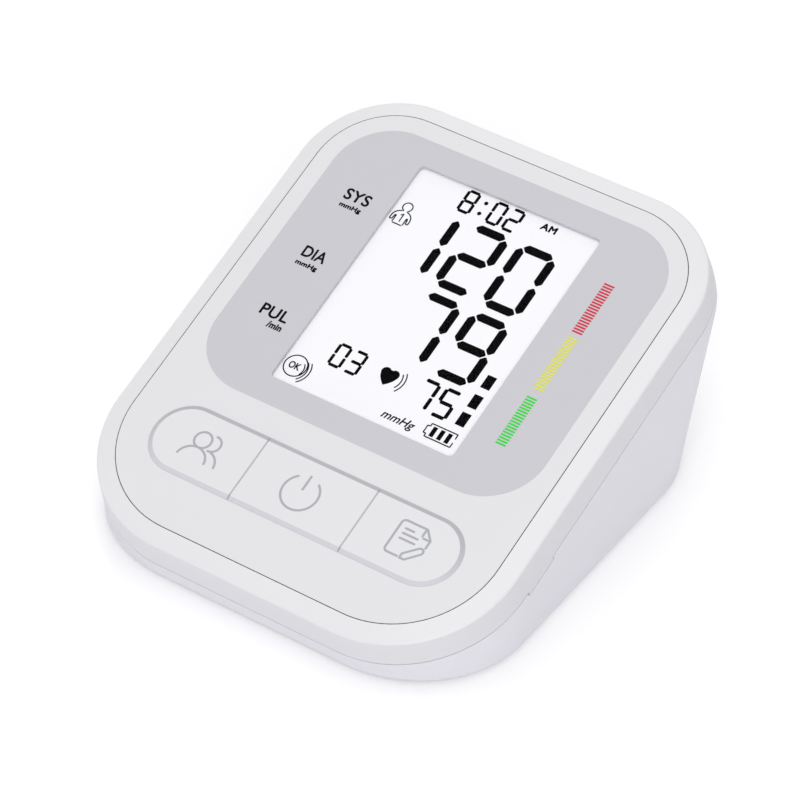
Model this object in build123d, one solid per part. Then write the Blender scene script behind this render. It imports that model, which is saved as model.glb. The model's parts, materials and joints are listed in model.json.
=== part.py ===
from build123d import *
from math import cos, radians, sin
import os

# Upper arm blood pressure monitor: a wedge-shaped desk-top case in two shells, an
# inset faceplate with a display panel and a pill-shaped row of three keys, and
# the circuit board, pump, valve, sensor and batteries that work it.
#
# Millimetres. X is across, -Y is the user's side, +Z is up. The case is drawn
# about the centre of its sloping face and then stood on its feet, so that the
# origin is under the middle of the case. "Face" sizes are measured in the plane
# of the sloping face: x across, y up the slope, depth below the face.

# ---- The sloping face and the two shells ----
FACE_TILT = 19.5            # slope of the face, rising to the rear, degrees
PLATE_WIDTH = 100.0         # the inset faceplate
PLATE_LENGTH = 123.2
PLATE_REAR_RADIUS = 19.7
PLATE_FRONT_RADIUS = 25.3
PLATE_THICKNESS = 1.8
PLATE_GAP = 0.2             # all round the faceplate
RING_WIDTH = 5.5            # ring of the upper shell round the faceplate, out to the seam
RING_DROP = 1.1             # the ring slopes down by this to its outer edge
RING_DRAFT = 0.75           # the skirt spreads by this from the ring's edge to the seam
RING_EDGE_RADIUS = 0.6
LEDGE_WIDTH = 2.4           # shelf that the faceplate lies on
LEDGE_THICKNESS = 1.6
SEAM_DEPTH = 8.8            # parting line of the shells, below the face
SEAM_GAP = 0.3
BAND_DEPTH = 3.2            # band under the seam, square to the face
SHELL_WALL = 2.0
LIP_THICKNESS = 1.1         # tongue of the lower shell inside the upper one
LIP_HEIGHT = 2.0
LIP_ROOT = 3.0
LIP_CLEARANCE = 0.25

# ---- The base ----
FRONT_RISE = 2.09           # underside to the crease of the band, at the very front
SIDE_INSET = 0.25           # how far the base is set in from the crease on each side
FRONT_INSET = 0.445
REAR_INSET = 9.357
BASE_FRONT_RADIUS = 28.2
BASE_REAR_RADIUS = 26.7
BASE_EDGE_RADIUS = 1.5
FLOOR_THICKNESS = 2.0
FOOT_RADIUS = 4.2
FOOT_THICKNESS = 1.6
FOOT_PROUD = 0.8
FOOT_PLACES = [(-36.0, -46.0), (36.0, -46.0), (-48.4, 22.0), (48.4, 22.0)]

# ---- Pry tabs on the seam ----
TAB_HEIGHT = 1.25
TAB_LENGTH = 10.2
TAB_CENTRE = -29.4          # along the face

# ---- Screws that join the shells, from below ----
SCREW_X = 48.5
SCREW_FRONT = -34.0
SCREW_REAR = 38.0
POST_RADIUS = 3.0
POST_BORE = 1.25
SCREW_SHANK = 1.15
SCREW_HEAD = 2.3
SCREW_HEAD_HEIGHT = 1.6
SCREW_PASSAGE = 1.5
SCREW_GRIP = 5.0            # thread length in the upper post
SCREW_HEAD_POCKET = 2.6     # radius of the well in the underside
SCREW_SEAT = 4.0            # height of the head's seat above the underside

# ---- Display ----
PANEL_WIDTH = 91.0
PANEL_LENGTH = 80.3
PANEL_CENTRE = 16.92        # up the face
PANEL_RADIUS = 15.0
PANEL_THICKNESS = 1.0
WINDOW_WIDTH = 50.2
WINDOW_LENGTH = 66.3
WINDOW_CENTRE = 16.9
WINDOW_RADIUS = 1.3
GLASS_WIDTH = 54.0
GLASS_LENGTH = 71.0
GLASS_THICKNESS = 1.8
GLASS_DEPTH = 1.1           # top of the liquid-crystal glass below the face
GLASS_CLEARANCE = 1.0       # round the glass in the faceplate
CONNECTOR_WIDTH = 2.6       # strip that joins the glass to the board
LIGHT_GUIDE_THICKNESS = 2.2
FRAME_WALL = 1.6
FRAME_CLEARANCE = 0.1

# ---- Keys ----
KEY_ROW_CENTRE = -39.75     # up the face
KEY_END_X = 32.6            # centre of each round end of the row
KEY_BASE_RADIUS = 9.17
KEY_TOP_RADIUS = 8.1
KEY_PROUD = 0.42
KEY_SPLIT_X = 15.2          # where the row divides into three
KEY_SPLIT = 0.4
KEY_CLEARANCE = 0.15
KEY_TRAVEL = 0.5
KEY_FLANGE = 0.9            # how far the flange reaches under the faceplate
KEY_FLANGE_THICKNESS = 1.0
KEY_FLANGE_GAP = 0.15
KEY_POST_RADIUS = 1.6
KEYS = {"user": -28.5, "power": 0.0, "record": 28.5}

# ---- Circuit board ----
BOARD_WIDTH = 76.0
BOARD_FRONT = -56.0
BOARD_REAR = 52.0
BOARD_THICKNESS = 1.6
BOARD_DEPTH = 10.0          # its upper side below the face
SWITCH_SIZE = 6.0
SWITCH_HEIGHT = 3.5
SWITCH_STEM_RADIUS = 1.75
SWITCH_STEM_HEIGHT = 1.3
SWITCH_STEM_INSIDE = 0.4
SWITCH_SPARE = 0.3          # left under the plunger of a pressed key
SWITCH_CLEARANCE = 0.1
STANDOFF_RADIUS = 2.5
STANDOFF_BORE = 0.9
STANDOFF_X = 34.0
STANDOFF_Y = (-53.0, -8.0, 48.0)
BOARD_SCREW_RADIUS = 0.8
BOARD_SCREW_HEAD = 1.8
BOARD_SCREW_HEAD_HEIGHT = 1.2
BOARD_SCREW_LENGTH = 5.0
BOARD_HOLE = 1.1
CHIP_SIZE = 14.0
CHIP_THICKNESS = 1.4
BUZZER_RADIUS = 6.0
BUZZER_HEIGHT = 4.0
CAPACITOR_RADIUS = 2.5
CAPACITOR_HEIGHT = 5.4
SENSOR_SIZE = 7.0
SENSOR_THICKNESS = 3.0

# ---- Batteries: four AA cells side by side, across the case ----
CELL_RADIUS = 7.25
CELL_LENGTH = 49.2
CELL_BUTTON_RADIUS = 2.75
CELL_BUTTON = 1.3
CELL_PITCH = 14.8
CELL_COUNT = 4
CELL_SPRING = 5.6           # length of a fitted spring
CONTACT_THICKNESS = 0.5
CONTACT_SIZE = 11.0
SPRING_BASE_RADIUS = 4.2
SPRING_TIP_RADIUS = 2.4
BAY_X = -8.0                # centre of the bay
BAY_Y = 22.5
BAY_WALL = 1.2
BAY_ROOF = 1.4
BAY_CLEARANCE = 0.4         # between the cells and the bay
DOOR_THICKNESS = 2.0
DOOR_GAP = 0.25
DOOR_PIN_RADIUS = 0.7
DOOR_PIN_LENGTH = 1.8
DOOR_PIN_CLEARANCE = 0.08
DOOR_CATCH_WIDTH = 12.0
DOOR_CATCH_THICKNESS = 1.2
DOOR_CATCH_HEIGHT = 5.0
DOOR_CATCH_INSET = 0.5       # from the door's rear edge, so that it swings clear
FINGER_NOTCH_RADIUS = 7.0

# ---- Air path ----
AIR_X = 34.0                # the pump and the manifold lie on this line
AIR_HEIGHT = 7.6            # centre of the air line above the underside
LINE_Y = -14.0              # the air line runs across the case here
NIPPLE_RADIUS = 1.6
NIPPLE_LENGTH = 4.0
NIPPLE_BORE = 0.8
HOSE_RADIUS = 2.6
MANIFOLD_WIDTH = 12.0
MANIFOLD_DEPTH = 10.0
MANIFOLD_HEIGHT = 8.0
PUMP_RADIUS = 10.0
MOTOR_LENGTH = 26.0
PUMP_HEAD_LENGTH = 14.0
PUMP_FRONT = 12.0
PUMP_HEIGHT = 14.0          # its axis above the underside
MOTOR_BOSS_RADIUS = 3.0
MOTOR_BOSS = 1.6
VALVE_RADIUS = 5.0
VALVE_LENGTH = 11.0
CRADLE_WALL = 1.2
CRADLE_LENGTH = 14.0
SOCKET_BORE = 2.5           # takes a 5 mm air plug
SOCKET_BORE_LENGTH = 12.0
SOCKET_RADIUS = 4.5
SOCKET_FLANGE_RADIUS = 5.4
SOCKET_FLANGE = 1.4
SOCKET_FLANGE_GAP = 0.2      # between the flange and the wall it stops against
SOCKET_LENGTH = 18.0
SOCKET_CLEARANCE = 0.05
SOCKET_SET_BACK = 0.3         # of its mouth behind the outer wall
SENSOR_NIPPLE = 1.4

# ---- Power socket at the rear ----
USB_X = -20.0
USB_HEIGHT = 31.0           # above the underside
USB_WIDTH = 8.94
USB_THICKNESS = 3.26
USB_LENGTH = 7.3
USB_WALL = 0.3
USB_TONGUE_WIDTH = 6.7
USB_TONGUE_THICKNESS = 0.7
USB_TONGUE_LENGTH = 4.5
USB_OPENING = 0.5           # clearance of the opening in the case
USB_SET_BACK = 0.8
USB_BOARD_WIDTH = 16.0
USB_BOARD_LENGTH = 14.0
USB_BOARD_THICKNESS = 1.0

SLOPE_COS = cos(radians(FACE_TILT))
SLOPE_SIN = sin(radians(FACE_TILT))
SEAM_HALF = SEAM_GAP / 2
PLATE_FLOOR = PLATE_THICKNESS + LEDGE_THICKNESS
BAND_BOTTOM = SEAM_DEPTH + BAND_DEPTH
CASE_HALF = PLATE_LENGTH / 2 + RING_WIDTH
BASE_DROP = CASE_HALF * SLOPE_SIN + BAND_BOTTOM * SLOPE_COS + FRONT_RISE
BASE_WIDTH = PLATE_WIDTH + 2 * RING_WIDTH - 2 * SIDE_INSET
BASE_FRONT = BAND_BOTTOM * SLOPE_SIN - CASE_HALF * SLOPE_COS + FRONT_INSET
BASE_REAR = BAND_BOTTOM * SLOPE_SIN + CASE_HALF * SLOPE_COS - REAR_INSET
BOARD_UNDER = BOARD_DEPTH + BOARD_THICKNESS
UNDERSIDE = -BASE_DROP
FLOOR_TOP = UNDERSIDE + FLOOR_THICKNESS
THROUGH = 200.0             # longer than any piece, for cuts that go right through
ROOT = 0.2                  # how deep a boss starts inside what it stands on


# ---------------------------------------------------------------- outlines

def outline(half_width, front, rear, front_radius, rear_radius):
    """A plan outline with one corner radius at the rear and another at the front."""
    shape = Pos(0, (front + rear) / 2) * Rectangle(2 * half_width, rear - front)
    shape = fillet(shape.vertices().sort_by(Axis.Y)[-2:], rear_radius)
    return fillet(shape.vertices().sort_by(Axis.Y)[:2], front_radius)


def plate_outline(offset):
    """The faceplate's outline, grown by an offset, in the face."""
    half = PLATE_LENGTH / 2 + offset
    return outline(PLATE_WIDTH / 2 + offset, -half, half,
                   PLATE_FRONT_RADIUS + offset, PLATE_REAR_RADIUS + offset)


def case_outline(inset):
    """The case's outline in the face, even all round the faceplate."""
    return plate_outline(RING_WIDTH - inset)


def base_outline(inset):
    """The case's outline where it meets the table."""
    return outline(BASE_WIDTH / 2 - inset, BASE_FRONT + inset, BASE_REAR - inset,
                   BASE_FRONT_RADIUS - inset, BASE_REAR_RADIUS - inset)


def pill(radius):
    """The outline of the whole row of keys."""
    return Pos(0, KEY_ROW_CENTRE) * SlotCenterToCenter(2 * KEY_END_X, 2 * radius)


# ---------------------------------------------------------------- helpers

def on_face(shape):
    """Turns a shape drawn flat, with its top at zero, into the plane of the face."""
    return Rot(X=FACE_TILT) * shape


def slab(profile, top_depth, bottom_depth):
    """A flat outline made solid between two depths below the face."""
    return Pos(0, 0, -bottom_depth) * extrude(profile, bottom_depth - top_depth)


def rod(radius, x, y, top_depth, bottom_depth):
    """A round bar square to the face."""
    return slab(Pos(x, y) * Circle(radius), top_depth, bottom_depth)


def upright(radius, x, y, bottom, top):
    """A round bar that stands straight up."""
    return Pos(x, y, bottom) * extrude(Circle(radius), top - bottom)


def bar_along_x(radius, left, right, y, z):
    return Pos(left, y, z) * (Rot(Y=90) * extrude(Circle(radius), right - left))


def bar_along_y(radius, front, rear, x, z):
    return Pos(x, rear, z) * (Rot(X=90) * extrude(Circle(radius), rear - front))


def box_between(low, high):
    centre = [(a + b) / 2 for a, b in zip(low, high)]
    size = [b - a for a, b in zip(low, high)]
    return Pos(*centre) * Box(*size)


def below_face_depth(depth):
    """A block that fills everything deeper than this under the face."""
    return on_face(Pos(0, 0, -depth - THROUGH / 2) * Box(THROUGH, THROUGH, THROUGH))


def screw_places():
    return [(side * SCREW_X, y) for side in (-1, 1) for y in (SCREW_FRONT, SCREW_REAR)]


def standoff_places():
    return [(side * STANDOFF_X, y) for side in (-1, 1) for y in STANDOFF_Y]


# ---------------------------------------------------------------- case

def pry_tab(grow):
    """The block at each side where the upper shell's edge dips below the seam."""
    top = SEAM_DEPTH - SEAM_HALF - ROOT
    bottom = SEAM_DEPTH - SEAM_HALF + TAB_HEIGHT + grow
    bars = Rectangle(THROUGH, TAB_LENGTH + 2 * grow)
    return slab(Pos(0, TAB_CENTRE) * bars, top, bottom)


def upper_housing():
    """The upper shell: the sloping ring round the faceplate, its ledge and the skirt."""
    seam = SEAM_DEPTH - SEAM_HALF
    edge = Pos(0, 0, -RING_DROP) * case_outline(RING_DRAFT)
    body = loft([Pos(0, 0, -seam) * case_outline(0), edge], ruled=True)
    body += loft([edge, case_outline(RING_WIDTH)], ruled=True)
    rim = body.edges().filter_by_position(Axis.Z, -RING_DROP - ROOT / 2, -RING_DROP + ROOT / 2)
    body = fillet(rim, RING_EDGE_RADIUS)
    body -= slab(case_outline(SHELL_WALL), PLATE_FLOOR, seam)
    body -= slab(plate_outline(PLATE_GAP), 0, PLATE_THICKNESS)
    body -= slab(plate_outline(PLATE_GAP - LEDGE_WIDTH), 0, PLATE_FLOOR)
    wall = slab(case_outline(0) - case_outline(SHELL_WALL), 0, SEAM_DEPTH + TAB_HEIGHT)
    body += pry_tab(0) & wall
    shell = on_face(body)
    for x, y in screw_places():
        post = upright(POST_RADIUS, x, y, UNDERSIDE, BASE_DROP)
        post -= below_face_depth(seam)
        post &= on_face(slab(Rectangle(THROUGH, THROUGH), PLATE_FLOOR - ROOT, seam))
        shell += post
        bore = upright(POST_BORE, x, y, UNDERSIDE, BASE_DROP)
        bore &= on_face(slab(Rectangle(THROUGH, THROUGH), PLATE_FLOOR + ROOT, THROUGH))
        shell -= bore
    return shell


def lower_outside():
    """The outer shape of the lower shell: a band under the seam, then the pedestal."""
    crease = on_face(Pos(0, 0, -BAND_BOTTOM) * case_outline(0))
    base = Pos(0, 0, UNDERSIDE) * base_outline(0)
    pedestal = loft([base, crease], ruled=True)
    pedestal = fillet(pedestal.edges().group_by(Axis.Z)[0], BASE_EDGE_RADIUS)
    return pedestal + on_face(slab(case_outline(0), SEAM_DEPTH + SEAM_HALF, BAND_BOTTOM))


def lower_inside():
    """The hollow of the lower shell."""
    crease = on_face(Pos(0, 0, -BAND_BOTTOM) * case_outline(SHELL_WALL))
    base = Pos(0, 0, FLOOR_TOP) * base_outline(SHELL_WALL)
    return loft([base, crease], ruled=True) + on_face(slab(case_outline(SHELL_WALL), 0, BAND_BOTTOM))


def lip():
    """The tongue that stands up inside the upper shell and lines the seam up."""
    foot = SEAM_DEPTH + SEAM_HALF
    inner = case_outline(SHELL_WALL + LIP_CLEARANCE + LIP_THICKNESS)
    tongue = slab(case_outline(SHELL_WALL + LIP_CLEARANCE) - inner, SEAM_DEPTH - LIP_HEIGHT, foot)
    return tongue + slab(case_outline(SHELL_WALL - ROOT) - inner, foot, SEAM_DEPTH + LIP_ROOT)


def bay_size():
    """Length and width of the battery bay's hollow."""
    length = CELL_LENGTH + CELL_BUTTON + CELL_SPRING + 2 * CONTACT_THICKNESS
    return length, CELL_COUNT * CELL_PITCH + 2 * BAY_CLEARANCE


def bay_box(grow, bottom, top):
    length, width = bay_size()
    low = (BAY_X - length / 2 - grow, BAY_Y - width / 2 - grow, bottom)
    high = (BAY_X + length / 2 + grow, BAY_Y + width / 2 + grow, top)
    return box_between(low, high)


CELL_BOTTOM = UNDERSIDE + DOOR_THICKNESS + BAY_CLEARANCE
CELL_CENTRE = CELL_BOTTOM + CELL_RADIUS
BAY_TOP = CELL_CENTRE + CELL_RADIUS + BAY_CLEARANCE
HINGE_Y = BAY_Y - bay_size()[1] / 2 + DOOR_GAP + DOOR_THICKNESS / 2
HINGE_Z = UNDERSIDE + DOOR_THICKNESS / 2
DOOR_REAR = BAY_Y + bay_size()[1] / 2 - DOOR_GAP
AIR_Z = UNDERSIDE + AIR_HEIGHT


def usb_centre():
    """Where the power socket's mouth lies on the rear wall."""
    top_y = CASE_HALF * SLOPE_COS + BAND_BOTTOM * SLOPE_SIN
    top_z = CASE_HALF * SLOPE_SIN - BAND_BOTTOM * SLOPE_COS
    share = USB_HEIGHT / (top_z - UNDERSIDE)
    return BASE_REAR + share * (top_y - BASE_REAR) - USB_SET_BACK, UNDERSIDE + USB_HEIGHT


def finger_notch():
    """The shallow scoop in the underside that a fingertip opens the door from."""
    side = FINGER_NOTCH_RADIUS
    rear = DOOR_REAR + side / 2
    scoop = Pos(BAY_X, DOOR_REAR, UNDERSIDE) * Sphere(FINGER_NOTCH_RADIUS)
    return scoop & box_between((BAY_X - side, DOOR_REAR, UNDERSIDE),
                               (BAY_X + side, rear, UNDERSIDE + FLOOR_THICKNESS / 2))


def lower_housing():
    """The lower shell, with the battery bay, the screw posts and the openings."""
    shell = lower_outside() - lower_inside()
    shell += on_face(lip())
    notch = pry_tab(SEAM_GAP) - slab(case_outline(SHELL_WALL), 0, THROUGH)
    shell -= on_face(notch)
    shell += bay_box(BAY_WALL, FLOOR_TOP - ROOT, BAY_TOP + BAY_ROOF)
    shell -= bay_box(0, UNDERSIDE, BAY_TOP)
    for x, y in screw_places():
        post = upright(POST_RADIUS, x, y, FLOOR_TOP - ROOT, BASE_DROP)
        shell += post & below_face_depth(SEAM_DEPTH + SEAM_HALF)
        shell -= upright(SCREW_PASSAGE, x, y, UNDERSIDE, BASE_DROP)
        shell -= upright(SCREW_HEAD_POCKET, x, y, UNDERSIDE, UNDERSIDE + SCREW_SEAT)
    for x, y in FOOT_PLACES:
        shell -= upright(FOOT_RADIUS, x, y, UNDERSIDE, UNDERSIDE + FOOT_THICKNESS - FOOT_PROUD)
    reach = bay_size()[0] / 2 - DOOR_GAP + DOOR_PIN_LENGTH + DOOR_PIN_CLEARANCE
    pin_hole = DOOR_PIN_RADIUS + DOOR_PIN_CLEARANCE
    shell -= bar_along_x(pin_hole, BAY_X - reach, BAY_X + reach, HINGE_Y, HINGE_Z)
    shell -= finger_notch()
    shell -= bar_along_x(SOCKET_RADIUS, -BASE_WIDTH, -BASE_WIDTH / 4, LINE_Y, AIR_Z)
    usb_y, usb_z = usb_centre()
    mouth = Rectangle(USB_WIDTH + 2 * USB_OPENING, USB_THICKNESS + 2 * USB_OPENING)
    mouth = fillet(mouth.vertices(), USB_THICKNESS / 2)
    mouth = Rot(X=90) * extrude(mouth, THROUGH / 4 + SHELL_WALL)
    shell -= Pos(USB_X, BASE_REAR + THROUGH / 4, usb_z) * mouth
    return shell


def faceplate():
    """The inset plate, with the display's recess and opening, the key slot and four standoffs."""
    plate = slab(plate_outline(0), 0, PLATE_THICKNESS)
    plate -= slab(panel_outline(), 0, PANEL_THICKNESS)
    plate -= slab(display_rect(GLASS_CLEARANCE), 0, PLATE_THICKNESS)
    plate -= slab(pill(KEY_BASE_RADIUS + KEY_CLEARANCE), 0, PLATE_THICKNESS)
    for x, y in standoff_places():
        plate += rod(STANDOFF_RADIUS, x, y, PLATE_THICKNESS - ROOT, BOARD_DEPTH)
        plate -= rod(STANDOFF_BORE, x, y, PLATE_THICKNESS + ROOT, BOARD_DEPTH)
    return on_face(plate)


def battery_door():
    """The door under the batteries: hinge pins at its front edge, a catch at its rear."""
    half = bay_size()[0] / 2 - DOOR_GAP
    top = UNDERSIDE + DOOR_THICKNESS
    door = box_between((BAY_X - half, HINGE_Y, UNDERSIDE), (BAY_X + half, DOOR_REAR, top))
    door += bar_along_x(DOOR_THICKNESS / 2, BAY_X - half, BAY_X + half, HINGE_Y, HINGE_Z)
    ends = half + DOOR_PIN_LENGTH
    door += bar_along_x(DOOR_PIN_RADIUS, BAY_X - ends, BAY_X + ends, HINGE_Y, HINGE_Z)
    catch_rear = DOOR_REAR - DOOR_CATCH_INSET
    side = DOOR_CATCH_WIDTH / 2
    catch = box_between((BAY_X - side, catch_rear - DOOR_CATCH_THICKNESS, top - ROOT),
                        (BAY_X + side, catch_rear, top + DOOR_CATCH_HEIGHT))
    return door + (catch - cell_row(BAY_CLEARANCE))


def rubber_feet():
    """Four round feet, half sunk in the underside."""
    top = UNDERSIDE + FOOT_THICKNESS - FOOT_PROUD
    return [upright(FOOT_RADIUS, x, y, UNDERSIDE - FOOT_PROUD, top) for x, y in FOOT_PLACES]


def housing_screws():
    """The four screws that pull the shells together, from below."""
    seat = UNDERSIDE + SCREW_SEAT
    screws = []
    for x, y in screw_places():
        seam_z = (y * SLOPE_SIN - SEAM_DEPTH) / SLOPE_COS
        under = seat - SCREW_HEAD_HEIGHT
        head = upright(SCREW_HEAD, x, y, under, seat)
        recess = Box(SCREW_HEAD, SCREW_HEAD / 4, SCREW_HEAD_HEIGHT)
        recess += Box(SCREW_HEAD / 4, SCREW_HEAD, SCREW_HEAD_HEIGHT)
        head -= Pos(x, y, under) * recess
        screws.append(head + upright(SCREW_SHANK, x, y, seat, seam_z + SCREW_GRIP))
    return screws


# ---------------------------------------------------------------- display

def panel_outline():
    shape = Pos(0, PANEL_CENTRE) * Rectangle(PANEL_WIDTH, PANEL_LENGTH)
    return fillet(shape.vertices(), PANEL_RADIUS)


def window_outline():
    shape = Pos(0, WINDOW_CENTRE) * Rectangle(WINDOW_WIDTH, WINDOW_LENGTH)
    return fillet(shape.vertices(), WINDOW_RADIUS)


def display_rect(grow):
    """The display's glass outline, grown all round."""
    return Pos(0, WINDOW_CENTRE) * Rectangle(GLASS_WIDTH + 2 * grow, GLASS_LENGTH + 2 * grow)


def display_panel():
    """The grey panel round the window, flush with the faceplate."""
    return on_face(slab(panel_outline() - window_outline(), 0, PANEL_THICKNESS))


def display_window():
    return on_face(slab(window_outline(), 0, PANEL_THICKNESS))


GLASS_UNDER = GLASS_DEPTH + GLASS_THICKNESS
GUIDE_LENGTH = GLASS_LENGTH - CONNECTOR_WIDTH
GLASS_FRONT = WINDOW_CENTRE - GLASS_LENGTH / 2


def lcd_glass():
    return on_face(slab(display_rect(0), GLASS_DEPTH, GLASS_UNDER))


def lcd_light_guide():
    """The white plate that lights the glass from behind."""
    guide = Pos(0, WINDOW_CENTRE + CONNECTOR_WIDTH / 2) * Rectangle(GLASS_WIDTH, GUIDE_LENGTH)
    return on_face(slab(guide, GLASS_UNDER, GLASS_UNDER + LIGHT_GUIDE_THICKNESS))


def lcd_connector():
    """The elastomer strip that joins the glass to the board along the front edge."""
    strip = Rectangle(GLASS_WIDTH - 2 * FRAME_WALL, CONNECTOR_WIDTH)
    strip = Pos(0, GLASS_FRONT + CONNECTOR_WIDTH / 2) * strip
    return on_face(slab(strip, GLASS_UNDER, BOARD_DEPTH))


def lcd_frame():
    """The frame that holds glass, light guide and strip on the board."""
    ring = display_rect(FRAME_CLEARANCE + FRAME_WALL) - display_rect(FRAME_CLEARANCE)
    frame = slab(ring, PLATE_THICKNESS + KEY_FLANGE_GAP, BOARD_DEPTH)
    rest = Rectangle(GLASS_WIDTH + 2 * FRAME_CLEARANCE, GUIDE_LENGTH)
    rest -= Rectangle(GLASS_WIDTH - 4 * FRAME_WALL, GUIDE_LENGTH - 4 * FRAME_WALL)
    rest = Pos(0, WINDOW_CENTRE + CONNECTOR_WIDTH / 2) * rest
    frame += slab(rest, GLASS_UNDER + LIGHT_GUIDE_THICKNESS, BOARD_DEPTH)
    return on_face(frame)


# ---------------------------------------------------------------- keys

def key_cell(x):
    """The strip of the face that belongs to one key."""
    if x == 0:
        return Pos(0, KEY_ROW_CENTRE) * Rectangle(2 * KEY_SPLIT_X - KEY_SPLIT, THROUGH / 2)
    side = 1 if x > 0 else -1
    inner = KEY_SPLIT_X + KEY_SPLIT / 2
    return Pos(side * (inner + THROUGH / 4), KEY_ROW_CENTRE) * Rectangle(THROUGH / 2, THROUGH / 2)


def key(x):
    """One key of the row: its bevelled cap, the flange that keeps it in and its post."""
    cap = loft([pill(KEY_BASE_RADIUS), Pos(0, 0, KEY_PROUD) * pill(KEY_TOP_RADIUS)], ruled=True)
    flange_top = PLATE_THICKNESS + KEY_FLANGE_GAP
    flange_under = flange_top + KEY_FLANGE_THICKNESS
    cap += slab(pill(KEY_BASE_RADIUS), 0, flange_under)
    cap += slab(pill(KEY_BASE_RADIUS + KEY_FLANGE), flange_top, flange_under)
    cap &= slab(key_cell(x), -PLATE_THICKNESS, flange_under)
    cap += rod(KEY_POST_RADIUS, x, KEY_ROW_CENTRE, flange_under - ROOT, STEM_TOP)
    return on_face(cap)


SWITCH_TOP = BOARD_DEPTH - SWITCH_HEIGHT
STEM_TOP = SWITCH_TOP - SWITCH_STEM_HEIGHT


def switch_stem(x):
    """The plunger of a key's switch, which moves with the key."""
    tip = SWITCH_TOP + SWITCH_STEM_INSIDE
    return on_face(rod(SWITCH_STEM_RADIUS, x, KEY_ROW_CENTRE, STEM_TOP, tip))


def switch_body(x):
    """A key's switch on the board, with the well that its plunger runs in."""
    body = slab(Pos(x, KEY_ROW_CENTRE) * Rectangle(SWITCH_SIZE, SWITCH_SIZE), SWITCH_TOP, BOARD_DEPTH)
    well = SWITCH_TOP + SWITCH_STEM_INSIDE + KEY_TRAVEL + SWITCH_SPARE
    return on_face(body - rod(SWITCH_STEM_RADIUS + SWITCH_CLEARANCE, x, KEY_ROW_CENTRE, SWITCH_TOP, well))


# ---------------------------------------------------------------- circuit board

CHIP_PLACE = (0.0, 6.0)
BUZZER_PLACE = (-20.0, -42.0)
CAPACITOR_PLACES = [(-30.0, 22.0), (-30.0, 30.0), (-22.0, 30.0)]
RESISTOR_ROW = [(-26.0 + 4.0 * i, -6.0) for i in range(8)]
RESISTOR_SIZE = (1.6, 3.2)
RESISTOR_THICKNESS = 0.6


def main_board():
    middle = (BOARD_FRONT + BOARD_REAR) / 2
    sheet = Pos(0, middle) * Rectangle(BOARD_WIDTH, BOARD_REAR - BOARD_FRONT)
    board = slab(sheet, BOARD_DEPTH, BOARD_UNDER)
    for x, y in standoff_places():
        board -= rod(BOARD_HOLE, x, y, BOARD_DEPTH, BOARD_UNDER)
    return on_face(board)


def board_screws():
    screws = []
    for x, y in standoff_places():
        tip = BOARD_UNDER - BOARD_SCREW_LENGTH
        screw = rod(BOARD_SCREW_RADIUS, x, y, tip, BOARD_UNDER)
        screw += rod(BOARD_SCREW_HEAD, x, y, BOARD_UNDER, BOARD_UNDER + BOARD_SCREW_HEAD_HEIGHT)
        screws.append(on_face(screw))
    return screws


def controller_chip():
    square = Pos(*CHIP_PLACE) * Rectangle(CHIP_SIZE, CHIP_SIZE)
    return on_face(slab(square, BOARD_UNDER, BOARD_UNDER + CHIP_THICKNESS))


def buzzer():
    return on_face(rod(BUZZER_RADIUS, *BUZZER_PLACE, BOARD_UNDER, BOARD_UNDER + BUZZER_HEIGHT))


def capacitors():
    under = BOARD_UNDER + CAPACITOR_HEIGHT
    return [on_face(rod(CAPACITOR_RADIUS, x, y, BOARD_UNDER, under)) for x, y in CAPACITOR_PLACES]


def resistors():
    under = BOARD_UNDER + RESISTOR_THICKNESS
    chip = slab(Rectangle(*RESISTOR_SIZE), BOARD_UNDER, under)
    return [on_face(Pos(x, y) * chip) for x, y in RESISTOR_ROW]


# ---------------------------------------------------------------- air path

MANIFOLD_TOP = AIR_Z + MANIFOLD_HEIGHT / 2
MANIFOLD_REAR = LINE_Y + MANIFOLD_DEPTH / 2
SENSOR_Y = LINE_Y * SLOPE_COS + MANIFOLD_TOP * SLOPE_SIN
MANIFOLD_SURFACE = LINE_Y * SLOPE_SIN - MANIFOLD_TOP * SLOPE_COS
SENSOR_UNDER = BOARD_UNDER + SENSOR_THICKNESS
WALL_LEAN = (RING_WIDTH + PLATE_WIDTH / 2 - BASE_WIDTH / 2) / BASE_DROP
WALL_OUTSIDE = -BASE_WIDTH / 2 - WALL_LEAN * AIR_HEIGHT
WALL_INSIDE = WALL_OUTSIDE + SHELL_WALL
SOCKET_MOUTH = WALL_OUTSIDE + SOCKET_SET_BACK
SOCKET_INNER = SOCKET_MOUTH + SOCKET_LENGTH
PUMP_NOZZLE = PUMP_FRONT - NIPPLE_LENGTH
PUMP_Z = UNDERSIDE + PUMP_HEIGHT
PUMP_HEAD_REAR = PUMP_FRONT + PUMP_HEAD_LENGTH


def manifold():
    """The block that joins pump, valve, sensor and socket, with a nipple for each."""
    left = AIR_X - MANIFOLD_WIDTH / 2
    block = Pos(AIR_X, LINE_Y, AIR_Z) * Box(MANIFOLD_WIDTH, MANIFOLD_DEPTH, MANIFOLD_HEIGHT)
    block += bar_along_x(NIPPLE_RADIUS, left - NIPPLE_LENGTH, left + ROOT, LINE_Y, AIR_Z)
    rear = MANIFOLD_REAR + NIPPLE_LENGTH
    block += bar_along_y(NIPPLE_RADIUS, MANIFOLD_REAR - ROOT, rear, AIR_X, AIR_Z)
    tip = MANIFOLD_SURFACE - SENSOR_NIPPLE
    block += on_face(rod(NIPPLE_RADIUS, AIR_X, SENSOR_Y, tip, MANIFOLD_SURFACE + NIPPLE_RADIUS))
    block -= bar_along_x(NIPPLE_BORE, left - NIPPLE_LENGTH, AIR_X, LINE_Y, AIR_Z)
    block -= bar_along_y(NIPPLE_BORE, LINE_Y, MANIFOLD_REAR + NIPPLE_LENGTH, AIR_X, AIR_Z)
    return block


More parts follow.
